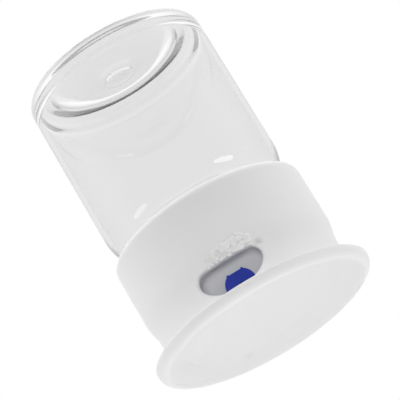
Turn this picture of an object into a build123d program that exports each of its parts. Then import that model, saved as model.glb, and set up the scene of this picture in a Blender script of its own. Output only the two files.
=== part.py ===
"""Inverted-jar drip dispenser: a glass jar screwed mouth down into a white base, whose side mouth holds a
blue metering plug. Millimetres, +Z up. The origin is the centre of the foot's underside, and the side mouth
faces -Y."""

import os

from build123d import *

os.makedirs("parts", exist_ok=True)

# Foot disc
FOOT_RADIUS = 36.6
FOOT_THICKNESS = 3.4
FOOT_UNDER_FILLET = 2.9
FOOT_TOP_FILLET = 0.3
SPIGOT_HEIGHT = 2.6
SPIGOT_WALL = 2.2
SPIGOT_PLAY = 0.1
SPIGOT_GAP = 29.0
TAB_HEIGHT = 3.8
TAB_PLAY = 0.1

# Base body: skirt below, deck in the middle, threaded cup above
SKIRT_RADIUS = 30.8
SKIRT_BORE = 28.3
TAPER_LOW = 11.2
TAPER_HIGH = 19.4
BASE_RADIUS = 32.0
BASE_TOP = 38.7
RIM_OUTER_FILLET = 2.5
RIM_INNER_FILLET = 0.5
DECK_UNDER = 21.0
DECK_TOP = 24.0
CUP_BORE = 28.8

# Side mouth and the bay behind it
MOUTH_WIDTH = 20.8
MOUTH_RISE = 3.2
MOUTH_DROP = 6.7
MOUTH_CENTRE = 11.4
MOUTH_EDGE_FILLET = 0.9
BAY_WIDTH = 23.4
BAY_TOP = 19.4
BAY_CORNER = 6.0
BAY_BACK_FILLET = 3.5
BAY_WALL = 1.4
BAY_ROOT = 0.5
NOTCH_RADIUS = 3.5

# Metering plug, whose axis lies along Y
PLUG_AXIS = 10.6
HEAD_FRONT = -14.3
HEAD_BACK = -12.3
HEAD_RADIUS = 4.95
HEAD_FLAT = 4.24
HEAD_RIB_RADIUS = 0.42
HEAD_RIB_PLACE = 2.4
HEAD_RIB_SUNK = 0.1
WASHER_THICKNESS = 0.5
WASHER_RADIUS = 4.4
WASHER_PLAY = 0.2
SHAFT_RADIUS = 3.0
SHAFT_END = 8.4
CUT_CLEAR = 1.0
PORT_RADIUS = 0.7
SEAL_GROOVE_RADIUS = 2.1
SEAL_GROOVE_WIDTH = 1.1
SEAL_SECTION_RADIUS = 0.44
SEAL_PLAY = 0.01
FRONT_SEAL_PLACE = -7.0
REAR_SEAL_PLACE = 3.4
CLIP_GROOVE_RADIUS = 2.2
CLIP_PLACE = 6.8
CLIP_THICKNESS = 0.8
CLIP_RADIUS = 4.3
CLIP_PLAY = 0.05
CLIP_GAP_WIDTH = 3.3
CLIP_GAP_DEPTH = 6.9

# Valve barrel and what clamps it to the deck
BARREL_RADIUS = 5.0
BARREL_END = 6.2
BARREL_PLAY = 0.05
STEM_PLACE = -2.0
STEM_RADIUS = 3.6
STEM_BORE = 1.5
STEM_TOP = 28.2
STEM_PLAY = 0.1
STEM_CHAMFER = 0.4
FLANGE_RADIUS = 7.0
FLANGE_THICKNESS = 1.6
FLANGE_SEAL_THICKNESS = 0.8
FLANGE_SEAL_RADIUS = 6.4
NUT_ACROSS_FLATS = 11.0
NUT_HEIGHT = 3.0
NUT_CHAMFER = 0.35

# Air vent flap in the deck
VENT_PLACE = 14.5
VENT_HEAD_RADIUS = 4.6
VENT_STEM_RADIUS = 1.1
VENT_BULB_RADIUS = 1.7
VENT_HEAD_EDGE = 0.35
VENT_HEAD_RISE = 1.05
VENT_BULB_DROP = 1.6
VENT_BULB_EDGE = 0.5
VENT_TIP_RADIUS = 0.66
VENT_HOLE_RADIUS = 0.6
VENT_HOLE_CIRCLE = 2.6
VENT_HOLES = 6

# Gasket and jar
GASKET_THICKNESS = 1.5
GASKET_INNER = 23.8
GASKET_OUTER = 28.3
JAR_RADIUS = 30.0
JAR_WALL = 1.6
JAR_TOP = 99.9
JAR_HEEL = 4.0
JAR_INNER_HEEL = 6.0
JAR_CLOSED_WALL = 2.6
SHOULDER_TOP = 49.0
SHOULDER_ARC = 15.7
NECK_RADIUS = 27.2
NECK_BORE = 24.6
LIP_FILLET = 0.8
NECK_FILLET = 2.0
NECK_TOP_LOW = 36.0
NECK_TOP_HIGH = 42.0
PUNT_DEPTH = 4.5
PUNT_EDGE_SLOPE = 0.4
JAR_INNER_PUNT = 3.9
BEARING_RING_WIDTH = 3.2

# Screw thread between the jar's neck and the cup
THREAD_PITCH = 4.2
THREAD_TURNS = 1.15
THREAD_ROOT_WIDTH = 1.9
THREAD_CREST_WIDTH = 0.7
THREAD_HEIGHT = 1.35
THREAD_BURIED = 0.25
THREAD_START = 28.6

LIP_PLANE = DECK_TOP + GASKET_THICKNESS
BACK_WALL_FRONT = HEAD_BACK + WASHER_THICKNESS
BACK_WALL_REAR = BACK_WALL_FRONT + BAY_WALL
VENT_DOME = (VENT_HEAD_RADIUS**2 + VENT_HEAD_RISE**2) / (2 * VENT_HEAD_RISE)


def facing_out(place, height):
    """A plane across the radial line of the side mouth, with its normal pointing out of the mouth."""
    return Plane(origin=(0, place, height), x_dir=(1, 0, 0), z_dir=(0, -1, 0))


def thread_ridge(radius, start, inward):
    """One helical ridge, standing out from a neck or in from a cup, as a part made on its own."""
    side = -1 if inward else 1
    ridge_path = Helix(THREAD_PITCH, THREAD_PITCH * THREAD_TURNS, radius, center=(0, 0, start))
    with BuildPart(mode=Mode.PRIVATE) as ridge:
        with BuildSketch(Plane(origin=(radius, 0, start), x_dir=(1, 0, 0), z_dir=(0, -1, 0))):
            with BuildLine():
                Polyline(
                    (-side * THREAD_BURIED, -THREAD_ROOT_WIDTH / 2),
                    (side * (THREAD_HEIGHT - THREAD_BURIED), -THREAD_CREST_WIDTH / 2),
                    (side * (THREAD_HEIGHT - THREAD_BURIED), THREAD_CREST_WIDTH / 2),
                    (-side * THREAD_BURIED, THREAD_ROOT_WIDTH / 2),
                    close=True,
                )
            make_face()
        sweep(path=ridge_path, is_frenet=True)
    return ridge.part


def bay_block(width, top, back, reach):
    """An arched block, open below and rounded at its back, with its outer face concentric with the base."""
    height = top - FOOT_THICKNESS
    with BuildPart(mode=Mode.PRIVATE) as block:
        with BuildSketch(facing_out(back, FOOT_THICKNESS + height / 2)) as arch:
            Rectangle(width, height)
            fillet(arch.vertices().group_by(Axis.Z)[-1], BAY_CORNER)
        extrude(amount=back + reach)
        back_edges = block.faces().sort_by(Axis.Y)[-1].edges().sort_by(Axis.Z)[1:]
        fillet(back_edges, BAY_BACK_FILLET)
        with BuildSketch(Plane.XY):
            Circle(reach)
        extrude(amount=BASE_TOP, mode=Mode.INTERSECT)
    return block.part


# Foot disc: crisp upper edge, rounded lower edge, a spigot that presses into the skirt, and a tab that closes
# the notch in the bay's back wall
with BuildPart() as foot_disc:
    with BuildSketch(Plane.XY):
        Circle(FOOT_RADIUS)
    extrude(amount=FOOT_THICKNESS)
    fillet(foot_disc.edges().filter_by(GeomType.CIRCLE).sort_by(Axis.Z)[0], FOOT_UNDER_FILLET)
    fillet(foot_disc.edges().filter_by(GeomType.CIRCLE).sort_by(Axis.Z)[-1], FOOT_TOP_FILLET)
    with BuildSketch(Plane.XY.offset(FOOT_THICKNESS)):
        Circle(SKIRT_BORE - SPIGOT_PLAY)
        Circle(SKIRT_BORE - SPIGOT_PLAY - SPIGOT_WALL, mode=Mode.SUBTRACT)
        with Locations((0, -SKIRT_BORE)):
            Rectangle(SPIGOT_GAP, SKIRT_BORE, mode=Mode.SUBTRACT)
    extrude(amount=SPIGOT_HEIGHT)
    with BuildSketch(Plane.XY.offset(FOOT_THICKNESS)):
        with Locations((0, (BACK_WALL_FRONT + BACK_WALL_REAR) / 2)):
            Rectangle(2 * (NOTCH_RADIUS - TAB_PLAY), BAY_WALL - TAB_PLAY)
    extrude(amount=TAB_HEIGHT)
foot_disc.part.label = "foot_disc"
export_step(foot_disc.part, "parts/foot_disc.step")

# Base body: skirt, deck and cup turned in one piece, with the bay and its mouth
with BuildPart() as base_body:
    with BuildSketch(Plane.XZ):
        with BuildLine():
            Polyline(
                (STEM_RADIUS, DECK_TOP),
                (STEM_RADIUS, DECK_UNDER),
                (SKIRT_BORE, DECK_UNDER),
                (SKIRT_BORE, FOOT_THICKNESS),
                (SKIRT_RADIUS, FOOT_THICKNESS),
                (SKIRT_RADIUS, TAPER_LOW),
            )
            Spline(
                (SKIRT_RADIUS, TAPER_LOW),
                (BASE_RADIUS, TAPER_HIGH),
                tangents=((0, 1), (0, 1)),
            )
            Polyline(
                (BASE_RADIUS, TAPER_HIGH),
                (BASE_RADIUS, BASE_TOP),
                (CUP_BORE, BASE_TOP),
                (CUP_BORE, DECK_TOP),
                (STEM_RADIUS, DECK_TOP),
            )
        make_face()
    revolve(axis=Axis.Z)
    rim = base_body.faces().filter_by(Plane.XY).sort_by(Axis.Z)[-1]
    fillet(rim.outer_wire().edges(), RIM_OUTER_FILLET)
    rim = base_body.faces().filter_by(Plane.XY).sort_by(Axis.Z)[-1]
    fillet(rim.inner_wires()[0].edges(), RIM_INNER_FILLET)
    # The turned profile stops short of the axis, so the deck is made whole before its holes are drilled
    with BuildSketch(Plane.XY.offset(DECK_UNDER)):
        Circle(STEM_RADIUS + CUT_CLEAR)
    extrude(amount=DECK_TOP - DECK_UNDER)
    with Locations((0, STEM_PLACE, DECK_TOP)):
        Hole(STEM_RADIUS + STEM_PLAY, depth=DECK_TOP - DECK_UNDER)
    with Locations((0, VENT_PLACE, DECK_TOP)):
        Hole(VENT_STEM_RADIUS, depth=DECK_TOP - DECK_UNDER)
        with PolarLocations(VENT_HOLE_CIRCLE, VENT_HOLES):
            Hole(VENT_HOLE_RADIUS, depth=DECK_TOP - DECK_UNDER)
    # The bay's walls run from its back wall into the skirt, and the foot disc is its floor
    add(bay_block(BAY_WIDTH + 2 * BAY_WALL, BAY_TOP + BAY_WALL, BACK_WALL_REAR, SKIRT_BORE + BAY_ROOT))
    add(bay_block(BAY_WIDTH, BAY_TOP, BACK_WALL_FRONT, SKIRT_BORE), mode=Mode.SUBTRACT)
    with BuildSketch(facing_out(BACK_WALL_FRONT, MOUTH_CENTRE)):
        Ellipse(MOUTH_WIDTH / 2, MOUTH_DROP)
        with Locations((0, MOUTH_DROP)):
            Rectangle(MOUTH_WIDTH, 2 * MOUTH_DROP, mode=Mode.SUBTRACT)
        SlotOverall(MOUTH_WIDTH, 2 * MOUTH_RISE)
    extrude(amount=BASE_RADIUS, mode=Mode.SUBTRACT)
    mouth_outline = base_body.edges().filter_by(
        lambda edge: edge.geom_type != GeomType.LINE
        and edge.center().Y < -SKIRT_BORE - BAY_ROOT
        and abs(edge.center().X) < MOUTH_WIDTH / 2
        and abs(edge.center().Z - MOUTH_CENTRE) < MOUTH_DROP + MOUTH_EDGE_FILLET
    )
    fillet(mouth_outline, MOUTH_EDGE_FILLET)
    # The notch lets the assembled valve go in from below
    with BuildSketch(facing_out(BACK_WALL_FRONT, PLUG_AXIS)):
        Circle(NOTCH_RADIUS)
        with Locations((0, (FOOT_THICKNESS - PLUG_AXIS) / 2)):
            Rectangle(2 * NOTCH_RADIUS, PLUG_AXIS - FOOT_THICKNESS)
    extrude(amount=-BAY_WALL, mode=Mode.SUBTRACT)
    add(thread_ridge(CUP_BORE, THREAD_START + THREAD_PITCH / 2, inward=True))
base_body.part.label = "base_body"
export_step(base_body.part, "parts/base_body.step")

# Valve barrel: a bored cylinder across, with a flanged stem that goes up through the deck
with BuildPart() as valve_barrel:
    with BuildSketch(facing_out(BARREL_END, PLUG_AXIS)):
        Circle(BARREL_RADIUS)
    extrude(amount=BARREL_END - BACK_WALL_REAR)
    with BuildSketch(Plane.XY.offset(PLUG_AXIS)):
        with Locations((0, STEM_PLACE)):
            Circle(STEM_RADIUS)
    extrude(amount=STEM_TOP - PLUG_AXIS)
    with BuildSketch(Plane.XY.offset(DECK_UNDER - FLANGE_SEAL_THICKNESS - FLANGE_THICKNESS)):
        with Locations((0, STEM_PLACE)):
            Circle(FLANGE_RADIUS)
    extrude(amount=FLANGE_THICKNESS)
    with BuildSketch(Plane.XY.offset(PLUG_AXIS)):
        with Locations((0, STEM_PLACE)):
            Circle(STEM_BORE)
    extrude(amount=STEM_TOP - PLUG_AXIS, mode=Mode.SUBTRACT)
    with BuildSketch(facing_out(BARREL_END, PLUG_AXIS)):
        Circle(SHAFT_RADIUS + BARREL_PLAY)
    extrude(amount=BARREL_END - BACK_WALL_REAR, mode=Mode.SUBTRACT)
    lip = valve_barrel.edges().filter_by(GeomType.CIRCLE).sort_by(Axis.Z)[-1]
    chamfer(lip, STEM_CHAMFER)
valve_barrel.part.label = "valve_barrel"
export_step(valve_barrel.part, "parts/valve_barrel.step")

# Flat seal between the stem's flange and the deck
with BuildPart() as stem_seal:
    with BuildSketch(Plane.XY.offset(DECK_UNDER - FLANGE_SEAL_THICKNESS)):
        with Locations((0, STEM_PLACE)):
            Circle(FLANGE_SEAL_RADIUS)
            Circle(STEM_RADIUS + STEM_PLAY, mode=Mode.SUBTRACT)
    extrude(amount=FLANGE_SEAL_THICKNESS)
stem_seal.part.label = "stem_seal"
export_step(stem_seal.part, "parts/stem_seal.step")

# Nut on top of the deck
with BuildPart() as stem_nut:
    with BuildSketch(Plane.XY.offset(DECK_TOP)):
        with Locations((0, STEM_PLACE)):
            RegularPolygon(NUT_ACROSS_FLATS / 2, 6, major_radius=False)
            Circle(STEM_RADIUS + STEM_PLAY, mode=Mode.SUBTRACT)
    extrude(amount=NUT_HEIGHT)
    chamfer(stem_nut.faces().sort_by(Axis.Z)[-1].outer_wire().edges(), NUT_CHAMFER)
stem_nut.part.label = "stem_nut"
export_step(stem_nut.part, "parts/stem_nut.step")

# Vent flap: a thin dome that lies over the vent holes, on a stem with a bulb below the deck
with BuildPart() as vent_flap:
    with BuildSketch(Plane.XZ.offset(-VENT_PLACE)):
        with BuildLine():
            Polyline(
                (0, DECK_UNDER - VENT_BULB_DROP),
                (VENT_TIP_RADIUS, DECK_UNDER - VENT_BULB_DROP),
                (VENT_BULB_RADIUS, DECK_UNDER - VENT_BULB_EDGE),
                (VENT_BULB_RADIUS, DECK_UNDER),
                (VENT_STEM_RADIUS, DECK_UNDER),
                (VENT_STEM_RADIUS, DECK_TOP),
                (VENT_HEAD_RADIUS, DECK_TOP),
                (VENT_HEAD_RADIUS, DECK_TOP + VENT_HEAD_EDGE),
            )
            RadiusArc(
                (VENT_HEAD_RADIUS, DECK_TOP + VENT_HEAD_EDGE),
                (0, DECK_TOP + VENT_HEAD_EDGE + VENT_HEAD_RISE),
                -VENT_DOME,
            )
            Line((0, DECK_TOP + VENT_HEAD_EDGE + VENT_HEAD_RISE), (0, DECK_UNDER - VENT_BULB_DROP))
        make_face()
    revolve(axis=Axis((0, VENT_PLACE, 0), (0, 0, 1)))
vent_flap.part.label = "vent_flap"
export_step(vent_flap.part, "parts/vent_flap.step")

# Metering plug: round head with two flats that end in small ribs, and a bored shaft with grooves
with BuildPart() as metering_plug:
    with BuildSketch(facing_out(HEAD_BACK, PLUG_AXIS)):
        Circle(HEAD_RADIUS)
        Rectangle(2 * HEAD_RADIUS, 2 * HEAD_FLAT, mode=Mode.INTERSECT)
        with GridLocations(2 * HEAD_RIB_PLACE, 2 * (HEAD_FLAT - HEAD_RIB_SUNK), 2, 2):
            Circle(HEAD_RIB_RADIUS)
    extrude(amount=HEAD_BACK - HEAD_FRONT)
    with BuildSketch(facing_out(HEAD_BACK, PLUG_AXIS)):
        Circle(SHAFT_RADIUS)
    extrude(amount=HEAD_BACK - SHAFT_END)
    for seal_place in (FRONT_SEAL_PLACE, REAR_SEAL_PLACE):
        with BuildSketch(facing_out(seal_place + SEAL_GROOVE_WIDTH / 2, PLUG_AXIS)):
            Circle(SHAFT_RADIUS + CUT_CLEAR)
            Circle(SEAL_GROOVE_RADIUS, mode=Mode.SUBTRACT)
        extrude(amount=SEAL_GROOVE_WIDTH, mode=Mode.SUBTRACT)
    with BuildSketch(facing_out(CLIP_PLACE + CLIP_THICKNESS + CLIP_PLAY, PLUG_AXIS)):
        Circle(SHAFT_RADIUS + CUT_CLEAR)
        Circle(CLIP_GROOVE_RADIUS, mode=Mode.SUBTRACT)
    extrude(amount=CLIP_THICKNESS + 2 * CLIP_PLAY, mode=Mode.SUBTRACT)
    with BuildSketch(facing_out(STEM_PLACE + PORT_RADIUS, PLUG_AXIS)):
        Circle(PORT_RADIUS)
    extrude(amount=STEM_PLACE + PORT_RADIUS - HEAD_FRONT, mode=Mode.SUBTRACT)
    with BuildSketch(Plane(origin=(0, STEM_PLACE, PLUG_AXIS), x_dir=(0, 1, 0), z_dir=(1, 0, 0))):
        Circle(PORT_RADIUS)
    extrude(amount=SHAFT_RADIUS + CUT_CLEAR, mode=Mode.SUBTRACT)
metering_plug.part.label = "metering_plug"
export_step(metering_plug.part, "parts/metering_plug.step")


def ring_seal(place):
    """A round-section sealing ring seated in one of the plug's grooves."""
    with BuildPart(mode=Mode.PRIVATE) as seal:
        with BuildSketch(Plane.YZ):
            with Locations((place, PLUG_AXIS + SEAL_GROOVE_RADIUS + SEAL_SECTION_RADIUS + SEAL_PLAY)):
                Circle(SEAL_SECTION_RADIUS)
        revolve(axis=Axis((0, 0, PLUG_AXIS), (0, 1, 0)))
    return seal.part


for seal_name, seal_place in (("front_plug_seal", FRONT_SEAL_PLACE), ("rear_plug_seal", REAR_SEAL_PLACE)):
    plug_seal = ring_seal(seal_place)
    plug_seal.label = seal_name
    export_step(plug_seal, f"parts/{seal_name}.step")

# Thrust washer between the plug's head and the back wall of the bay
with BuildPart() as thrust_washer:
    with BuildSketch(facing_out(BACK_WALL_FRONT, PLUG_AXIS)):
        Circle(WASHER_RADIUS)
        Circle(SHAFT_RADIUS + WASHER_PLAY, mode=Mode.SUBTRACT)
    extrude(amount=WASHER_THICKNESS)
thrust_washer.part.label = "thrust_washer"
export_step(thrust_washer.part, "parts/thrust_washer.step")

# Open retaining clip behind the barrel
with BuildPart() as plug_clip:
    with BuildSketch(facing_out(CLIP_PLACE + CLIP_THICKNESS, PLUG_AXIS)):
        Circle(CLIP_RADIUS)
        Circle(CLIP_GROOVE_RADIUS + CLIP_PLAY, mode=Mode.SUBTRACT)
        with Locations((0, CLIP_RADIUS)):
            Rectangle(CLIP_GAP_WIDTH, CLIP_GAP_DEPTH, mode=Mode.SUBTRACT)
    extrude(amount=CLIP_THICKNESS)
plug_clip.part.label = "plug_clip"
export_step(plug_clip.part, "parts/plug_clip.step")

# Flat gasket that the jar's lip presses on the deck
with BuildPart() as jar_gasket:
    with BuildSketch(Plane.XY.offset(DECK_TOP)):
        Circle(GASKET_OUTER)
        Circle(GASKET_INNER, mode=Mode.SUBTRACT)
    extrude(amount=GASKET_THICKNESS)
jar_gasket.part.label = "jar_gasket"
export_step(jar_gasket.part, "parts/jar_gasket.step")

# Glass jar, turned: lip, neck, shoulder, wall, heel, bearing ring and punt
INNER_RADIUS = JAR_RADIUS - JAR_WALL
BEARING_OUTER = JAR_RADIUS - JAR_HEEL
BEARING_INNER = BEARING_OUTER - BEARING_RING_WIDTH
with BuildPart() as glass_jar:
    with BuildSketch(Plane.XZ):
        with BuildLine():
            outer_shoulder = RadiusArc(
                (JAR_RADIUS, SHOULDER_TOP),
                (
                    NECK_RADIUS,
                    SHOULDER_TOP - (SHOULDER_ARC**2 - (SHOULDER_ARC - JAR_RADIUS + NECK_RADIUS) ** 2) ** 0.5,
                ),
                SHOULDER_ARC,
            )
            Line(outer_shoulder @ 1, (NECK_RADIUS, LIP_PLANE))
            Line((NECK_RADIUS, LIP_PLANE), (NECK_BORE, LIP_PLANE))
            inner_shoulder = RadiusArc(
                (INNER_RADIUS, SHOULDER_TOP),
                (
                    NECK_BORE,
                    SHOULDER_TOP - (SHOULDER_ARC**2 - (SHOULDER_ARC - INNER_RADIUS + NECK_BORE) ** 2) ** 0.5,
                ),
                SHOULDER_ARC,
            )
            Line((NECK_BORE, LIP_PLANE), inner_shoulder @ 1)
            Line((INNER_RADIUS, SHOULDER_TOP), (INNER_RADIUS, JAR_TOP - JAR_CLOSED_WALL - JAR_INNER_HEEL))
            ThreePointArc(
                (INNER_RADIUS, JAR_TOP - JAR_CLOSED_WALL - JAR_INNER_HEEL),
                (
                    INNER_RADIUS - JAR_INNER_HEEL * (1 - 0.5**0.5),
                    JAR_TOP - JAR_CLOSED_WALL - JAR_INNER_HEEL * (1 - 0.5**0.5),
                ),
                (INNER_RADIUS - JAR_INNER_HEEL, JAR_TOP - JAR_CLOSED_WALL),
            )
            Spline(
                (INNER_RADIUS - JAR_INNER_HEEL, JAR_TOP - JAR_CLOSED_WALL),
                (0, JAR_TOP - JAR_CLOSED_WALL - JAR_INNER_PUNT),
                tangents=((-1, 0), (-1, 0)),
            )
            Line((0, JAR_TOP - JAR_CLOSED_WALL - JAR_INNER_PUNT), (0, JAR_TOP - PUNT_DEPTH))
            Spline(
                (0, JAR_TOP - PUNT_DEPTH),
                (BEARING_INNER, JAR_TOP),
                tangents=((1, 0), (1, PUNT_EDGE_SLOPE)),
            )
            Line((BEARING_INNER, JAR_TOP), (BEARING_OUTER, JAR_TOP))
            ThreePointArc(
                (BEARING_OUTER, JAR_TOP),
                (
                    BEARING_OUTER + JAR_HEEL * 0.5**0.5,
                    JAR_TOP - JAR_HEEL * (1 - 0.5**0.5),
                ),
                (JAR_RADIUS, JAR_TOP - JAR_HEEL),
            )
            Line((JAR_RADIUS, JAR_TOP - JAR_HEEL), (JAR_RADIUS, SHOULDER_TOP))
        make_face()
    revolve(axis=Axis.Z)
    fillet(glass_jar.faces().filter_by(Plane.XY).sort_by(Axis.Z)[0].edges(), LIP_FILLET)
    rings = glass_jar.edges().filter_by(GeomType.CIRCLE)
    neck_edges = rings.filter_by_position(Axis.Z, NECK_TOP_LOW, NECK_TOP_HIGH)
    fillet(neck_edges, NECK_FILLET)
    add(thread_ridge(NECK_RADIUS, THREAD_START, inward=False))
glass_jar.part.label = "glass_jar"
export_step(glass_jar.part, "parts/glass_jar.step")
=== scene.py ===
"""Looks of an inverted-jar drip dispenser, laid out as a Blender add-on and run as a script."""

import math
import random

import bpy
from mathutils import Matrix, Vector


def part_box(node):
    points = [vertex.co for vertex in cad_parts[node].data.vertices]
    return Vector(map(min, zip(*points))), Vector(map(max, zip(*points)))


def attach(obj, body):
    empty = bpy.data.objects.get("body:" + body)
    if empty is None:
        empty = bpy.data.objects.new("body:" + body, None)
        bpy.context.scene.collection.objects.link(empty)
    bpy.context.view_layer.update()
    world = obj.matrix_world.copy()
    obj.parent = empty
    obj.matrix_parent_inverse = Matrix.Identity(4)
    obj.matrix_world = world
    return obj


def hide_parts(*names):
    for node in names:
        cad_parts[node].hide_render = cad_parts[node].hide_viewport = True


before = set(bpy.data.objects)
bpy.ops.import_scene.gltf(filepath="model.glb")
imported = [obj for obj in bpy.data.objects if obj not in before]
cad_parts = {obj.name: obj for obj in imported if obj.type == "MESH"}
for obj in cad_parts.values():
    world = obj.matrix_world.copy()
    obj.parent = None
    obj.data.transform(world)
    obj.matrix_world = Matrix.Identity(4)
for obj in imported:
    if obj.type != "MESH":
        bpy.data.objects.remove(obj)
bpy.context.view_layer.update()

bl_info = {
    "name": "Drip Dispenser",
    "version": (1, 0, 0),
    "blender": (4, 5, 0),
    "location": "View3D > Sidebar > Dispenser",
    "description": "Models and finishes an inverted-jar drip dispenser around its CAD frame",
    "category": "Object",
}

MM = 0.001
TURN_STEPS = 180
PUNT_STEPS = 60
HEEL_STEPS = 16
SHOULDER_STEPS = 14
LIP_STEPS = 5
MERGE_DISTANCE = 1e-6

BASE_LOW, BASE_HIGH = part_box("base_body")
JAR_LOW, JAR_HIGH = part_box("glass_jar")

# Where the base widens from the skirt to the cup
SKIRT_RADIUS = 30.8 * MM
TAPER_LOW = 11.2 * MM
TAPER_HIGH = 19.4 * MM

# Finishes: the part of a noise's values that is used, how dark the darker patches are, how many bounces a ray
# makes in the glass before it goes straight on, and in what grey
NOISE_MIDDLE = (0.3, 0.7)
PATCH_SHADE = 0.985
BLUE_SHADE = 0.85
LAST_BOUNCE = 4.5
LATE_GREY = 0.7

# Rough patch: the lumps that it is fused from, and the fineness of its skin
CRUST_SEED = 11
CRUST_LUMPS = 130
CRUST_LEAN = 0.8
LUMP_SHAPE = (1.2, 0.9, 0.85)
LUMP_SUNK = 0.1
CRUST_VOXEL = 0.13 * MM
CRUST_SMOOTHING = 3

# Stage, in metres: the floor, the studio's darker side and how its brightness fades there, above and below
FLOOR_SIZE = 6.0
CAMERA_SIDE = Vector((0.04, -1.0, 0.0))
CAMERA_FADE = (-0.1, 0.9)
LOW_FADE = (-0.3, -0.9)
HIGH_FADE = (0.35, 0.9)
LAMP_AIM = Vector((0, 0, 0.05))
SOFTBOX_SIZE = (0.46, 0.18)
SOFTBOX_TILT = -16
LEFT_SOFTBOX_SHARE = 0.6
SIDE_FILL_SIZE = (0.5, 0.5)
FRONT_FILL_SIZE = (0.2, 0.2)
MOUTH_HEIGHT = 11.5 * MM
MOUTH_SPOT_AWAY = Vector((0.03, -0.93, -0.22))
MOUTH_SPOT_CONE = math.radians(2.3)
MOUTH_SPOT_RADIUS = 20.0 * MM


# ---------------------------------------------------------------- settings


def length(name, description, default):
    return bpy.props.FloatProperty(name=name, description=description, default=default, unit="LENGTH")


def angle(name, description, degrees):
    return bpy.props.FloatProperty(
        name=name, description=description, default=math.radians(degrees), subtype="ANGLE", unit="ROTATION"
    )


def colour(name, description, default):
    return bpy.props.FloatVectorProperty(
        name=name, description=description, default=default, subtype="COLOR", min=0, max=1
    )


def amount(name, description, default):
    return bpy.props.FloatProperty(name=name, description=description, default=default)


class JarSettings(bpy.types.PropertyGroup):
    """Sizes of the glass jar, and the colour of its glass"""

    radius: length("Radius", "Outer radius of the wall", JAR_HIGH.x)
    top: length("Top", "Height of the closed end", JAR_HIGH.z)
    lip: length("Lip", "Height of the open lip", JAR_LOW.z)
    wall: length("Wall", "Glass thickness of the side wall", 1.6 * MM)
    heel: length("Heel", "Radius of the rounded heel", 4.0 * MM)
    inner_heel: length("Inner heel", "Radius of the heel's inside", 6.0 * MM)
    closed_wall: length("Closed end", "Glass thickness of the closed end", 2.6 * MM)
    punt_depth: length("Punt", "How far the closed end is pushed in", 4.5 * MM)
    inner_punt: length("Inner punt", "How far the closed end's inside is pushed in", 3.9 * MM)
    bearing_ring: length("Bearing ring", "Width of the flat ring round the punt", 3.2 * MM)
    shoulder_height: length("Shoulder", "Height at which the wall starts to curve in", 49.0 * MM)
    shoulder_arc: length("Shoulder arc", "Radius of the shoulder's curve", 15.7 * MM)
    neck_radius: length("Neck", "Outer radius of the neck", 27.2 * MM)
    neck_bore: length("Neck bore", "Inner radius of the neck", 24.6 * MM)
    lip_round: length("Lip round", "Radius of the lip's rounded edges", 0.8 * MM)
    mark_radius: length("Mould mark", "Radius of the ring left in the middle of the punt", 5.0 * MM)
    mark_width: length("Mark width", "How far the mould mark's ring spreads", 0.9 * MM)
    mark_depth: length("Mark depth", "How far the mould mark's ring stands out", 0.05 * MM)
    thread_start: length("Thread start", "Height at which the thread ridge starts", 28.6 * MM)
    thread_pitch: length("Thread pitch", "Rise of the thread in one turn", 4.2 * MM)
    thread_turns: amount("Thread turns", "Turns of the thread", 1.15)
    thread_height: length("Thread height", "How far the ridge stands out of the neck", 1.1 * MM)
    thread_sunk: length("Thread root", "How far the ridge goes into the neck", 0.25 * MM)
    thread_root: length("Thread root width", "Width of the ridge where it leaves the neck", 1.9 * MM)
    thread_crest: length("Thread crest width", "Width of the ridge's outer face", 0.7 * MM)
    tint: colour("Glass tint", "Colour that the glass passes", (0.996, 0.997, 0.997))


class PlasticSettings(bpy.types.PropertyGroup):
    """Colours of the plastic, and where the rough patch by the mouth lies"""

    white: colour("White", "Colour of the base and foot", (0.95, 0.95, 0.95))
    blue: colour("Blue", "Colour of the metering plug", (0.05, 0.085, 0.62))
    crust_left: length("Crust left end", "Sideways place of the rough patch's left end", -6.0 * MM)
    crust_right: length("Crust right end", "Sideways place of the rough patch's right end", 9.3 * MM)
    crust_low: length("Crust low", "Height of the rough patch's lower edge", 14.4 * MM)
    crust_high: length("Crust high", "Height of the rough patch's upper edge", 19.6 * MM)
    crust_lump: length("Crust lump", "Largest radius of a lump in the rough patch", 0.85 * MM)


class StageSettings(bpy.types.PropertyGroup):
    """Where the camera stands, and how bright the studio and its lamps are"""

    distance: length("Distance", "Camera to the aim point", 0.8155)
    elevation: angle("Elevation", "Camera angle above the foot's plane", -20.46)
    azimuth: angle("Azimuth", "Camera angle round the jar from the side mouth", 2.33)
    roll: angle("Roll", "Lean of the jar in the picture", 31.0)
    lens: amount("Lens", "Focal length in millimetres", 239.1)
    sensor: amount("Sensor", "Sensor width in millimetres", 36.0)
    aim_height: length("Aim height", "Height on the jar's axis that the camera faces", 45.5 * MM)
    aim_side: length("Aim side", "How far the aim point is to the right of the axis", 1.70 * MM)
    backdrop: colour("Backdrop", "Colour of the backdrop", (1.0, 1.0, 1.0))
    studio_back: amount("Studio back", "Brightness of the studio behind and beside the object", 0.9)
    studio_front: amount("Studio front", "Brightness of the studio on the camera's side", 0.1)
    glass_front: amount("Glass front", "Brightness of the camera's side as seen through the glass", 1.05)
    under_glow: amount("Under glow", "Extra brightness from below", 0.19)
    top_glow: amount("Top glow", "Extra brightness from above", 0.8)
    softbox_power: amount("Softbox power", "Power of the brighter softbox in watts", 0.75)
    side_power: amount("Side fill power", "Power of each side fill in watts", 0.32)
    front_power: amount("Front fill power", "Power of the front fill in watts", 2.45)
    mouth_power: amount("Mouth spot power", "Power of the narrow spot on the side mouth in watts", 4.5)


# ---------------------------------------------------------------- modelling helpers


def deselect_all():
    if bpy.context.mode != "OBJECT":
        bpy.ops.object.mode_set(mode="OBJECT")
    bpy.ops.object.select_all(action="DESELECT")


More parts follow.
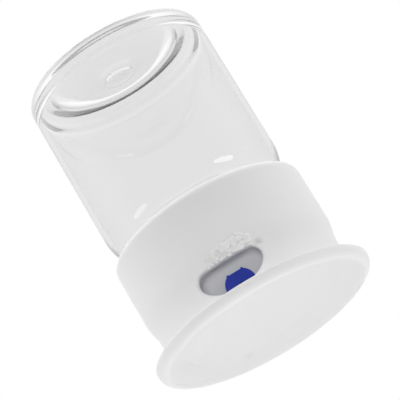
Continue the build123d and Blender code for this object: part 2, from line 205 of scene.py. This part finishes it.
def arc(centre, radius, start, end, steps):
    """Points of an arc in the (radius, height) plane, from one angle in degrees to another."""
    points = []
    for i in range(steps + 1):
        turn = math.radians(start + (end - start) * i / steps)
        points.append((centre[0] + radius * math.cos(turn), centre[1] + radius * math.sin(turn)))
    return points


def outlined(name, corners):
    """A closed outline of edges in the XZ plane, from (radius, height) corners, left in edit mode."""
    deselect_all()
    bpy.ops.mesh.primitive_plane_add(size=MM, location=(corners[0][0], 0, corners[0][1]))
    piece = bpy.context.object
    piece.name = piece.data.name = name
    bpy.ops.object.transform_apply(location=True)
    bpy.ops.object.mode_set(mode="EDIT")
    bpy.ops.mesh.select_mode(type="VERT")
    bpy.ops.mesh.select_all(action="SELECT")
    bpy.ops.mesh.merge(type="CENTER")
    before = corners[0]
    for corner in corners[1:] + corners[:1]:
        step = (corner[0] - before[0], 0, corner[1] - before[1])
        bpy.ops.mesh.extrude_region_move(TRANSFORM_OT_translate={"value": step})
        before = corner
    bpy.ops.mesh.select_all(action="SELECT")
    bpy.ops.mesh.remove_doubles(threshold=MERGE_DISTANCE)
    return piece


def turned(name, profile, steps=TURN_STEPS):
    """A closed shell turned round Z from a closed outline of (radius, height) points."""
    piece = outlined(name, profile)
    bpy.ops.mesh.spin(steps=steps, angle=2 * math.pi, center=(0, 0, 0), axis=(0, 0, 1))
    bpy.ops.mesh.select_all(action="SELECT")
    bpy.ops.mesh.remove_doubles(threshold=MERGE_DISTANCE)
    bpy.ops.mesh.normals_make_consistent(inside=False)
    bpy.ops.object.mode_set(mode="OBJECT")
    return piece


def wound(name, corners, turns, pitch):
    """A closed ridge wound round Z from an outline of (radius, height) corners."""
    piece = outlined(name, corners)
    bpy.ops.object.mode_set(mode="OBJECT")
    winding = piece.modifiers.new("Winding", "SCREW")
    winding.axis = "Z"
    winding.angle = 2 * math.pi * turns
    winding.screw_offset = pitch * turns
    winding.steps = winding.render_steps = round(TURN_STEPS * turns)
    winding.use_merge_vertices = False
    bpy.ops.object.modifier_apply(modifier=winding.name)
    bpy.ops.object.mode_set(mode="EDIT")
    bpy.ops.mesh.select_all(action="SELECT")
    bpy.ops.mesh.fill_holes(sides=0)
    bpy.ops.mesh.select_all(action="SELECT")
    bpy.ops.mesh.normals_make_consistent(inside=False)
    bpy.ops.object.mode_set(mode="OBJECT")
    return piece


def smooth(piece, degrees=35):
    deselect_all()
    piece.select_set(True)
    bpy.context.view_layer.objects.active = piece
    bpy.ops.object.shade_smooth_by_angle(angle=math.radians(degrees))


def dress(piece, material):
    piece.data.materials.clear()
    piece.data.materials.append(material)


def dress_node(node, material):
    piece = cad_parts[node]
    for place in piece.material_slots:
        place.material = material


def soft_mark(side, depth, height, reach, stretch, strength):
    """A soft spot on a piece: its place and reach in millimetres, its shape and its strength."""
    centre = (side * MM, depth * MM, height * MM)
    return {"centre": centre, "reach": reach * MM, "stretch": stretch, "strength": strength}


# ---------------------------------------------------------------- finishes


def new_material(name):
    material = bpy.data.materials.new(name)
    material.use_nodes = True
    nodes = material.node_tree.nodes
    return material, nodes, material.node_tree.links, nodes["Principled BSDF"]


def add_noise(nodes, links, scale, detail=4.0, roughness=0.55, stretch=(1, 1, 1)):
    """A noise texture on the piece's own coordinates, with scale in cycles a metre."""
    place = nodes.new("ShaderNodeTexCoord")
    mapping = nodes.new("ShaderNodeMapping")
    mapping.inputs["Scale"].default_value = stretch
    noise = nodes.new("ShaderNodeTexNoise")
    noise.inputs["Scale"].default_value = scale
    noise.inputs["Detail"].default_value = detail
    noise.inputs["Roughness"].default_value = roughness
    links.new(place.outputs["Object"], mapping.inputs["Vector"])
    links.new(mapping.outputs["Vector"], noise.inputs["Vector"])
    return noise.outputs["Fac"]


def spread(nodes, links, value, low, high):
    """Maps the middle of a noise's values to a range."""
    change = nodes.new("ShaderNodeMapRange")
    change.inputs["From Min"].default_value, change.inputs["From Max"].default_value = NOISE_MIDDLE
    change.inputs["To Min"].default_value = low
    change.inputs["To Max"].default_value = high
    links.new(value, change.inputs["Value"])
    return change.outputs["Result"]


def tinted(nodes, links, value, dark, light):
    """A colour between two others."""
    mix = nodes.new("ShaderNodeMix")
    mix.data_type = "RGBA"
    mix.inputs[6].default_value = (*dark, 1)
    mix.inputs[7].default_value = (*light, 1)
    links.new(value, mix.inputs[0])
    return mix.outputs[2]


def bumped(nodes, links, shader, height, depth, under=None):
    """Bumps the shader's surface by a height, on top of the bump given as under."""
    bump = nodes.new("ShaderNodeBump")
    bump.inputs["Distance"].default_value = depth
    links.new(height, bump.inputs["Height"])
    if under is not None:
        links.new(under, bump.inputs["Normal"])
    links.new(bump.outputs["Normal"], shader.inputs["Normal"])
    return bump.outputs["Normal"]


def vector_step(nodes, links, operation, value, other):
    step = nodes.new("ShaderNodeVectorMath")
    step.operation = operation
    step.inputs[1].default_value = other
    links.new(value, step.inputs[0])
    return step.outputs[0]


def near(nodes, links, mark):
    """A soft 0 to 1 spot round the place of a mark."""
    place = nodes.new("ShaderNodeTexCoord").outputs["Object"]
    away = vector_step(nodes, links, "SUBTRACT", place, mark["centre"])
    scaled = vector_step(nodes, links, "MULTIPLY", away, mark["stretch"])
    distance = nodes.new("ShaderNodeVectorMath")
    distance.operation = "LENGTH"
    links.new(scaled, distance.inputs[0])
    spot = nodes.new("ShaderNodeMapRange")
    spot.interpolation_type = "SMOOTHSTEP"
    spot.inputs["From Min"].default_value = mark["reach"]
    spot.inputs["From Max"].default_value = 0.0
    links.new(distance.outputs["Value"], spot.inputs["Value"])
    return spot.outputs["Result"]


def combined(nodes, links, operation, one, other):
    """The sum or product of two values."""
    result = nodes.new("ShaderNodeMath")
    result.operation = operation
    links.new(one, result.inputs[0])
    links.new(other, result.inputs[1])
    return result.outputs[0]


def darken_for_smudge_and_shade(nodes, links, shade, white, mark):
    """Darkens a colour inside a mark, through a mottled noise, for a smudge and for the painted shade of a
    pit.
    """
    smudge_and_shade_mottle = spread(nodes, links, add_noise(nodes, links, scale=900.0), low=0.2, high=1.0)
    mix = nodes.new("ShaderNodeMix")
    mix.data_type = "RGBA"
    mix.inputs[7].default_value = (*[mark["strength"] * channel for channel in white], 1)
    links.new(combined(nodes, links, "MULTIPLY", near(nodes, links, mark), smudge_and_shade_mottle), mix.inputs[0])
    links.new(shade, mix.inputs[6])
    return mix.outputs[2]


def white_plastic(name, spots=(), streaks=()):
    """Satin white plastic. Each spot darkens the colour, for a smudge and for the painted shade of a pit, and
    each streak a mark worn with fine lines.
    """
    material, nodes, links, shader = new_material(name)
    white = bpy.context.scene.plastic_settings.white
    patches = add_noise(nodes, links, scale=60.0, detail=3.0)
    shade = tinted(nodes, links, patches, [PATCH_SHADE * channel for channel in white], white)
    for spot in spots:
        shade = darken_for_smudge_and_shade(nodes, links, shade, white, spot)
    links.new(shade, shader.inputs["Base Color"])
    links.new(spread(nodes, links, patches, low=0.36, high=0.46), shader.inputs["Roughness"])
    grain = add_noise(nodes, links, scale=2600.0, detail=3.0)
    layers = add_noise(nodes, links, scale=900.0, detail=2.0, stretch=(0.12, 0.12, 3.0))
    surface = bumped(nodes, links, shader, grain, depth=0.015 * MM)
    surface = bumped(nodes, links, shader, layers, depth=0.02 * MM, under=surface)
    for streak in streaks:
        lines = add_noise(nodes, links, scale=260.0, detail=5.0, roughness=0.7, stretch=(0.25, 0.25, 4.0))
        worn = combined(nodes, links, "MULTIPLY", near(nodes, links, streak), lines)
        surface = bumped(nodes, links, shader, worn, depth=streak["strength"], under=surface)
    shader.inputs["Specular IOR Level"].default_value = 0.4
    soften(shader, weight=0.35, depth=1.6 * MM)
    return material


def soften(shader, weight, depth):
    """Lets light into the surface."""
    shader.inputs["Subsurface Weight"].default_value = weight
    shader.inputs["Subsurface Radius"].default_value = (1.0, 1.0, 1.0)
    shader.inputs["Subsurface Scale"].default_value = depth


def crust_plastic():
    material, nodes, links, shader = new_material("rough_white_plastic")
    grain = add_noise(nodes, links, scale=1500.0, detail=5.0)
    dark, light = (0.96, 0.96, 0.96), (1.0, 1.0, 1.0)
    links.new(tinted(nodes, links, grain, dark, light), shader.inputs["Base Color"])
    links.new(spread(nodes, links, grain, low=0.3, high=0.6), shader.inputs["Roughness"])
    bumped(nodes, links, shader, grain, depth=0.05 * MM)
    soften(shader, weight=0.5, depth=0.8 * MM)
    return material


def blue_plastic():
    material, nodes, links, shader = new_material("blue_plastic")
    blue = bpy.context.scene.plastic_settings.blue
    patches = add_noise(nodes, links, scale=400.0)
    dark = [BLUE_SHADE * channel for channel in blue]
    links.new(tinted(nodes, links, patches, dark, blue), shader.inputs["Base Color"])
    links.new(spread(nodes, links, patches, low=0.3, high=0.42), shader.inputs["Roughness"])
    grain = add_noise(nodes, links, scale=3000.0)
    bumped(nodes, links, shader, grain, depth=0.015 * MM)
    return material


def clear_glass():
    """Clear glass that casts no shadow, and passes light on unbent after many bounces inside it."""
    material, nodes, links, shader = new_material("clear_glass")
    shader.inputs["Base Color"].default_value = (*bpy.context.scene.jar_settings.tint, 1)
    shader.inputs["Roughness"].default_value = 0.0
    shader.inputs["IOR"].default_value = 1.5
    shader.inputs["Transmission Weight"].default_value = 1.0
    waves = add_noise(nodes, links, scale=45.0, detail=1.0, stretch=(1, 1, 0.4))
    bumped(nodes, links, shader, waves, depth=0.05 * MM)
    path = nodes.new("ShaderNodeLightPath")
    late = nodes.new("ShaderNodeMath")
    late.operation = "GREATER_THAN"
    late.inputs[1].default_value = LAST_BOUNCE
    links.new(path.outputs["Ray Depth"], late.inputs[0])
    # The grey that late rays pass through is painted shade: it darkens the glass along its edges in place of
    # further bounces.
    grey = nodes.new("ShaderNodeBsdfTransparent")
    grey.inputs["Color"].default_value = (LATE_GREY, LATE_GREY, LATE_GREY, 1)
    clear = nodes.new("ShaderNodeBsdfTransparent")
    bent = mixed_shader(nodes, links, late.outputs[0], shader, grey)
    seen = mixed_shader(nodes, links, path.outputs["Is Shadow Ray"], bent, clear)
    links.new(seen.outputs[0], nodes["Material Output"].inputs["Surface"])
    return material


def mixed_shader(nodes, links, share, one, other):
    mix = nodes.new("ShaderNodeMixShader")
    links.new(share, mix.inputs[0])
    links.new(one.outputs[0], mix.inputs[1])
    links.new(other.outputs[0], mix.inputs[2])
    return mix


def fine_grained(name, dark, light, low_rough, high_rough):
    """Rubber, silicone, foam or nylon: two close shades, and fine pores."""
    material, nodes, links, shader = new_material(name)
    bloom = add_noise(nodes, links, scale=700.0)
    links.new(tinted(nodes, links, bloom, dark, light), shader.inputs["Base Color"])
    links.new(spread(nodes, links, bloom, low_rough, high_rough), shader.inputs["Roughness"])
    pores = add_noise(nodes, links, scale=4000.0)
    bumped(nodes, links, shader, pores, depth=0.02 * MM)
    return material


def spring_steel():
    material, nodes, links, shader = new_material("spring_steel")
    shader.inputs["Metallic"].default_value = 1.0
    drag = add_noise(nodes, links, scale=2500.0, stretch=(0.15, 1, 1))
    dark, light = (0.46, 0.46, 0.47), (0.62, 0.62, 0.63)
    links.new(tinted(nodes, links, drag, dark, light), shader.inputs["Base Color"])
    links.new(spread(nodes, links, drag, low=0.22, high=0.38), shader.inputs["Roughness"])
    bumped(nodes, links, shader, drag, depth=0.01 * MM)
    return material


# ---------------------------------------------------------------- operators


class DISPENSER_OT_glass_jar(bpy.types.Operator):
    """Turns the glass jar, with its lip, neck, shoulder, heel and punt"""

    bl_idname = "dispenser.glass_jar"
    bl_label = "Glass jar"

    def execute(self, context):
        jar = context.scene.jar_settings
        inner = jar.radius - jar.wall
        inner_heel = jar.inner_heel
        ceiling = jar.top - jar.closed_wall
        bearing_outer = jar.radius - jar.heel
        bearing_inner = bearing_outer - jar.bearing_ring
        outer_turn = self.shoulder_turn(jar, jar.radius, jar.neck_radius)
        inner_turn = self.shoulder_turn(jar, inner, jar.neck_bore)
        small = jar.lip_round
        profile = arc((jar.neck_bore + small, jar.lip + small), small, 180, 270, LIP_STEPS)
        profile += arc((jar.neck_radius - small, jar.lip + small), small, 270, 360, LIP_STEPS)
        shoulder_centre = (jar.radius - jar.shoulder_arc, jar.shoulder_height)
        profile += arc(shoulder_centre, jar.shoulder_arc, -outer_turn, 0, SHOULDER_STEPS)
        profile += arc((bearing_outer, jar.top - jar.heel), jar.heel, 0, 90, HEEL_STEPS)
        profile += self.punt(jar, bearing_inner, jar.top, jar.punt_depth, levels_off=False)[::-1]
        profile += self.punt(jar, inner - inner_heel, ceiling, jar.inner_punt, levels_off=True)
        heel_centre = (inner - inner_heel, ceiling - inner_heel)
        profile += arc(heel_centre, inner_heel, 90, 0, HEEL_STEPS)[1:]
        shoulder_centre = (inner - jar.shoulder_arc, jar.shoulder_height)
        profile += arc(shoulder_centre, jar.shoulder_arc, 0, -inner_turn, SHOULDER_STEPS)
        piece = turned("jar_glass", profile)
        self.add_thread(piece, jar)
        dress(piece, clear_glass())
        smooth(piece, 50)
        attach(piece, "jar")
        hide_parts("glass_jar")
        return {"FINISHED"}

    def shoulder_turn(self, jar, wall_radius, neck_radius):
        """Degrees of the shoulder's curve between the wall and the neck."""
        return math.degrees(math.acos((jar.shoulder_arc - wall_radius + neck_radius) / jar.shoulder_arc))

    def punt(self, jar, reach, height, depth, levels_off):
        """The pushed-in curve, from the middle outward, with the faint ring that the mould leaves."""
        points = []
        for i in range(PUNT_STEPS + 1):
            share = i / PUNT_STEPS
            rise = share * share * (3 - 2 * share) if levels_off else share * share
            ring = math.exp(-(((reach * share - jar.mark_radius) / jar.mark_width) ** 2)) * jar.mark_depth
            points.append((reach * share, height - depth * (1 - rise) - ring))
        return points

    def add_thread(self, piece, jar):
        """Winds the thread's ridge round the neck and fuses it with the jar."""
        root = jar.neck_radius - jar.thread_sunk
        crest = jar.neck_radius + jar.thread_height
        corners = (
            (root, jar.thread_start - jar.thread_root / 2),
            (crest, jar.thread_start - jar.thread_crest / 2),
            (crest, jar.thread_start + jar.thread_crest / 2),
            (root, jar.thread_start + jar.thread_root / 2),
        )
        ridge = wound("thread_ridge", corners, jar.thread_turns, jar.thread_pitch)
        deselect_all()
        piece.select_set(True)
        bpy.context.view_layer.objects.active = piece
        fuse = piece.modifiers.new("Thread", "BOOLEAN")
        fuse.operation = "UNION"
        fuse.solver = "EXACT"
        fuse.object = ridge
        bpy.ops.object.modifier_apply(modifier=fuse.name)
        bpy.data.objects.remove(ridge)


class DISPENSER_OT_plastic_parts(bpy.types.Operator):
    """Finishes the white base, foot and valve parts and the blue plug"""

    bl_idname = "dispenser.plastic_parts"
    bl_label = "Plastic parts"

    def execute(self, context):
        # The pit is painted shade: the base's colour is darkened beside the crust's right end, standing in
        # for the shade of a small dent that is not modelled.
        pit_painted_shade = soft_mark(11.2, -29.2, 14.2, reach=2.2, stretch=(1.0, 0.6, 1.4), strength=0.68)
        left_wear = soft_mark(-15.0, -27.0, 16.0, reach=9.0, stretch=(0.8, 0.8, 1.6), strength=0.25 * MM)
        right_wear = soft_mark(15.5, -27.0, 15.0, reach=9.0, stretch=(0.8, 0.8, 1.6), strength=0.25 * MM)
        smudge = soft_mark(-10.7, 17.4, 0.0, reach=2.6, stretch=(0.9, 0.5, 1.0), strength=0.9)
        dress_node("base_body", white_plastic("white_base", [pit_painted_shade], [left_wear, right_wear]))
        dress_node("foot_disc", white_plastic("white_foot", [smudge]))
        inner_white = white_plastic("white_valve")
        for node in ("valve_barrel", "stem_nut"):
            dress_node(node, inner_white)
        dress_node("metering_plug", blue_plastic())
        nylon_dark, nylon_light = (0.62, 0.59, 0.5), (0.7, 0.68, 0.6)
        dress_node("thrust_washer", fine_grained("natural_nylon", nylon_dark, nylon_light, 0.35, 0.5))
        return {"FINISHED"}


class DISPENSER_OT_mouth_crust(bpy.types.Operator):
    """Models the rough white patch on the base, along the upper edge of the side mouth"""

    bl_idname = "dispenser.mouth_crust"
    bl_label = "Mouth crust"

    def skin(self, height):
        """Radius of the base's outside at a height."""
        share = min(max((height - TAPER_LOW) / (TAPER_HIGH - TAPER_LOW), 0), 1)
        return SKIRT_RADIUS + (BASE_HIGH.x - SKIRT_RADIUS) * share * share * (3 - 2 * share)

    def add_lump(self, side, height, radius):
        reach = self.skin(height) - LUMP_SUNK * radius
        around = math.asin(side / reach)
        bpy.ops.mesh.primitive_ico_sphere_add(
            subdivisions=2,
            radius=radius,
            location=(side, -reach * math.cos(around), height),
            rotation=(0, 0, around),
            scale=LUMP_SHAPE,
        )
        return bpy.context.object

    def add_lumps(self, plastic):
        """Lumps strewn over the patch, which is tallest and coarsest near its right end."""
        chance = random.Random(CRUST_SEED)
        width = plastic.crust_right - plastic.crust_left
        depth = plastic.crust_high - plastic.crust_low
        deselect_all()
        lumps = []
        for i in range(CRUST_LUMPS):
            share = chance.random() ** CRUST_LEAN
            side = plastic.crust_left + width * share
            lift = chance.random()
            crown = 0.55 + 0.45 * share - 0.5 * max(share - 0.85, 0) / 0.15
            height = plastic.crust_low + depth * lift * crown
            radius = plastic.crust_lump * chance.uniform(0.3, 1.0) * (0.6 + 0.6 * share)
            lumps.append(self.add_lump(side, height, radius))
        return lumps

    def execute(self, context):
        lumps = self.add_lumps(context.scene.plastic_settings)
        deselect_all()
        for lump in lumps:
            lump.select_set(True)
        crust = lumps[0]
        bpy.context.view_layer.objects.active = crust
        bpy.ops.object.join()
        bpy.ops.object.transform_apply(location=True, rotation=True, scale=True)
        crust.name = crust.data.name = "mouth_crust"
        remesh = crust.modifiers.new("Fuse", "REMESH")
        remesh.mode = "VOXEL"
        remesh.voxel_size = CRUST_VOXEL
        bpy.ops.object.modifier_apply(modifier=remesh.name)
        smoothing = crust.modifiers.new("Soften", "SMOOTH")
        smoothing.iterations = CRUST_SMOOTHING
        smoothing.factor = 0.5
        bpy.ops.object.modifier_apply(modifier=smoothing.name)
        dress(crust, crust_plastic())
        smooth(crust, 60)
        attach(crust, "base")
        return {"FINISHED"}


class DISPENSER_OT_seals(bpy.types.Operator):
    """Finishes the seals, the vent flap, the gasket and the clip"""

    bl_idname = "dispenser.seals"
    bl_label = "Seals and clip"

    def execute(self, context):
        black, grey = (0.012, 0.012, 0.012), (0.03, 0.03, 0.03)
        nitrile = fine_grained("black_nitrile", black, grey, 0.45, 0.65)
        for node in ("stem_seal", "front_plug_seal", "rear_plug_seal"):
            dress_node(node, nitrile)
        silicone_dark, silicone_light = (0.6, 0.6, 0.58), (0.72, 0.72, 0.7)
        dress_node("vent_flap", fine_grained("clear_silicone", silicone_dark, silicone_light, 0.3, 0.45))
        foam_dark, foam_light = (0.74, 0.74, 0.72), (0.84, 0.84, 0.82)
        dress_node("jar_gasket", fine_grained("white_foam", foam_dark, foam_light, 0.7, 0.9))
        dress_node("plug_clip", spring_steel())
        return {"FINISHED"}


class DISPENSER_OT_stage(bpy.types.Operator):
    """Sets the floor, the lights and the camera"""

    bl_idname = "dispenser.stage"
    bl_label = "Stage"

    def execute(self, context):
        stage = context.scene.stage_settings
        self.set_floor()
        self.set_world(context.scene, stage)
        self.set_lights(stage)
        self.set_camera(context.scene, stage)
        context.scene.view_settings.view_transform = "Standard"
        return {"FINISHED"}

    def set_floor(self):
        """A pale floor under the foot, which is only seen from above and only by the camera."""
        deselect_all()
        bpy.ops.mesh.primitive_plane_add(size=FLOOR_SIZE, location=(0, 0, 0))
        floor = bpy.context.object
        floor.name = "floor"
        material, nodes, links, shader = new_material("pale_floor")
        shader.inputs["Base Color"].default_value = (0.86, 0.86, 0.86, 1)
        shader.inputs["Roughness"].default_value = 0.7
        path = nodes.new("ShaderNodeLightPath")
        side = nodes.new("ShaderNodeNewGeometry")
        above = nodes.new("ShaderNodeMath")
        above.operation = "SUBTRACT"
        above.inputs[0].default_value = 1.0
        links.new(side.outputs["Backfacing"], above.inputs[1])
        shown = combined(nodes, links, "MULTIPLY", path.outputs["Is Camera Ray"], above.outputs[0])
        clear = nodes.new("ShaderNodeBsdfTransparent")
        seen = mixed_shader(nodes, links, shown, clear, shader)
        links.new(seen.outputs[0], nodes["Material Output"].inputs["Surface"])
        dress(floor, material)

    def set_world(self, scene, stage):
        """A white backdrop, and a studio that is dimmer on the camera's side."""
        world = bpy.data.worlds.new("studio")
        scene.world = world
        world.use_nodes = True
        nodes, links = world.node_tree.nodes, world.node_tree.links
        place = nodes.new("ShaderNodeTexCoord").outputs["Generated"]
        facing = nodes.new("ShaderNodeVectorMath")
        facing.operation = "DOT_PRODUCT"
        facing.inputs[1].default_value = CAMERA_SIDE.normalized()
        links.new(place, facing.inputs[0])
        toward = facing.outputs["Value"]
        height = nodes.new("ShaderNodeSeparateXYZ")
        links.new(place, height.inputs[0])
        up = height.outputs["Z"]
        around = self.faded(nodes, links, toward, CAMERA_FADE, (stage.studio_back, stage.studio_front))
        below = self.faded(nodes, links, up, LOW_FADE, (0.0, stage.under_glow))
        above = self.faded(nodes, links, up, HIGH_FADE, (0.0, stage.top_glow))
        glow = combined(nodes, links, "ADD", below, above)
        studio = nodes["Background"]
        studio.inputs["Color"].default_value = (1, 1, 1, 1)
        links.new(combined(nodes, links, "ADD", around, glow), studio.inputs["Strength"])
        through = nodes.new("ShaderNodeBackground")
        glass_view = self.faded(nodes, links, toward, CAMERA_FADE, (1.0, stage.glass_front))
        links.new(glass_view, through.inputs["Strength"])
        backdrop = nodes.new("ShaderNodeBackground")
        backdrop.inputs["Color"].default_value = (*stage.backdrop, 1)
        path = nodes.new("ShaderNodeLightPath")
        lit = mixed_shader(nodes, links, path.outputs["Is Transmission Ray"], studio, through)
        seen = mixed_shader(nodes, links, path.outputs["Is Camera Ray"], lit, backdrop)
        links.new(seen.outputs[0], nodes["World Output"].inputs["Surface"])

    def faded(self, nodes, links, value, source, target):
        """Maps one range to another with soft ends."""
        change = nodes.new("ShaderNodeMapRange")
        change.interpolation_type = "SMOOTHSTEP"
        change.inputs["From Min"].default_value, change.inputs["From Max"].default_value = source
        change.inputs["To Min"].default_value, change.inputs["To Max"].default_value = target
        links.new(value, change.inputs["Value"])
        return change.outputs["Result"]

    def set_lights(self, stage):
        """Two softboxes that show in the glass, plain fills, and a narrow spot on the side mouth."""
        softboxes = (
            ("left_softbox", -61, LEFT_SOFTBOX_SHARE * stage.softbox_power),
            ("right_softbox", 59.5, stage.softbox_power),
        )
        for name, turn, power in softboxes:
            lamp = self.add_lamp(name, turn, SOFTBOX_TILT, SOFTBOX_SIZE, power)
            lamp.visible_diffuse = False
            lamp.visible_transmission = False
        fills = (
            ("left_fill", -88, 5, SIDE_FILL_SIZE, stage.side_power),
            ("right_fill", 88, 5, SIDE_FILL_SIZE, stage.side_power),
            ("front_fill", 2, -17, FRONT_FILL_SIZE, stage.front_power),
        )
        for name, turn, tilt, size, power in fills:
            lamp = self.add_lamp(name, turn, tilt, size, power)
            lamp.visible_glossy = False
            lamp.visible_transmission = False
        self.add_mouth_spot(stage)

    def add_mouth_spot(self, stage):
        """A narrow soft spot from the front that reaches into the side mouth."""
        mouth = Vector((0, BASE_LOW.y, MOUTH_HEIGHT))
        place = mouth + MOUTH_SPOT_AWAY
        deselect_all()
        bpy.ops.object.light_add(type="SPOT", location=place)
        lamp = bpy.context.object
        lamp.name = "mouth_spot"
        lamp.data.energy = stage.mouth_power
        lamp.data.spot_size = MOUTH_SPOT_CONE
        lamp.data.spot_blend = 1.0
        lamp.data.shadow_soft_size = MOUTH_SPOT_RADIUS
        lamp.visible_camera = False
        lamp.visible_glossy = False
        lamp.visible_transmission = False
        lamp.rotation_euler = (mouth - place).to_track_quat("-Z", "Y").to_euler()

    def add_lamp(self, name, turn, tilt, size, power):
        """A soft lamp one metre away, turned from the side mouth and tilted up by degrees."""
        around, rise = math.radians(turn), math.radians(tilt)
        away = Vector(
            (math.sin(around) * math.cos(rise), -math.cos(around) * math.cos(rise), math.sin(rise))
        )
        deselect_all()
        bpy.ops.object.light_add(type="AREA", location=away + LAMP_AIM)
        lamp = bpy.context.object
        lamp.name = name
        lamp.data.shape = "ELLIPSE"
        lamp.data.size, lamp.data.size_y = size
        lamp.data.energy = power
        lamp.visible_camera = False
        lamp.rotation_euler = (-away).to_track_quat("-Z", "Y").to_euler()
        return lamp

    def set_camera(self, scene, stage):
        east = Vector((math.cos(stage.azimuth), math.sin(stage.azimuth), 0))
        ahead = Vector(
            (
                -math.sin(stage.azimuth) * math.cos(stage.elevation),
                math.cos(stage.azimuth) * math.cos(stage.elevation),
                -math.sin(stage.elevation),
            )
        )
        up = east.cross(ahead)
        right = east * math.cos(stage.roll) - up * math.sin(stage.roll)
        top = up * math.cos(stage.roll) + east * math.sin(stage.roll)
        place = Vector((0, 0, stage.aim_height)) + east * stage.aim_side - ahead * stage.distance
        bpy.ops.object.camera_add()
        camera = bpy.context.object
        camera.name = "camera"
        camera.data.lens = stage.lens
        camera.data.sensor_width = stage.sensor
        turn = Matrix((right, top, -ahead)).transposed()
        camera.matrix_world = Matrix.Translation(place) @ turn.to_4x4()
        scene.camera = camera


class DISPENSER_PT_panel(bpy.types.Panel):
    """Lists the dispenser's pieces and settings"""

    bl_idname = "DISPENSER_PT_panel"
    bl_label = "Drip Dispenser"
    bl_space_type = "VIEW_3D"
    bl_region_type = "UI"
    bl_category = "Dispenser"

    def draw(self, context):
        for step in STEPS:
            self.layout.operator(step.bl_idname)
        for name, group in SETTINGS.items():
            box = self.layout.box()
            for setting in group.__annotations__:
                box.prop(getattr(context.scene, name), setting)


STEPS = (
    DISPENSER_OT_glass_jar,
    DISPENSER_OT_plastic_parts,
    DISPENSER_OT_mouth_crust,
    DISPENSER_OT_seals,
    DISPENSER_OT_stage,
)
SETTINGS = {"jar_settings": JarSettings, "plastic_settings": PlasticSettings, "stage_settings": StageSettings}


def register():
    for kind in (*SETTINGS.values(), *STEPS, DISPENSER_PT_panel):
        bpy.utils.register_class(kind)
    for name, group in SETTINGS.items():
        setattr(bpy.types.Scene, name, bpy.props.PointerProperty(type=group))


def unregister():
    for name in SETTINGS:
        delattr(bpy.types.Scene, name)
    for kind in (DISPENSER_PT_panel, *STEPS[::-1], *SETTINGS.values()):
        bpy.utils.unregister_class(kind)


def main():
    register()
    for step in STEPS:
        family, operation = step.bl_idname.split(".")
        getattr(getattr(bpy.ops, family), operation)()
    deselect_all()


if __name__ == "__main__":
    main()
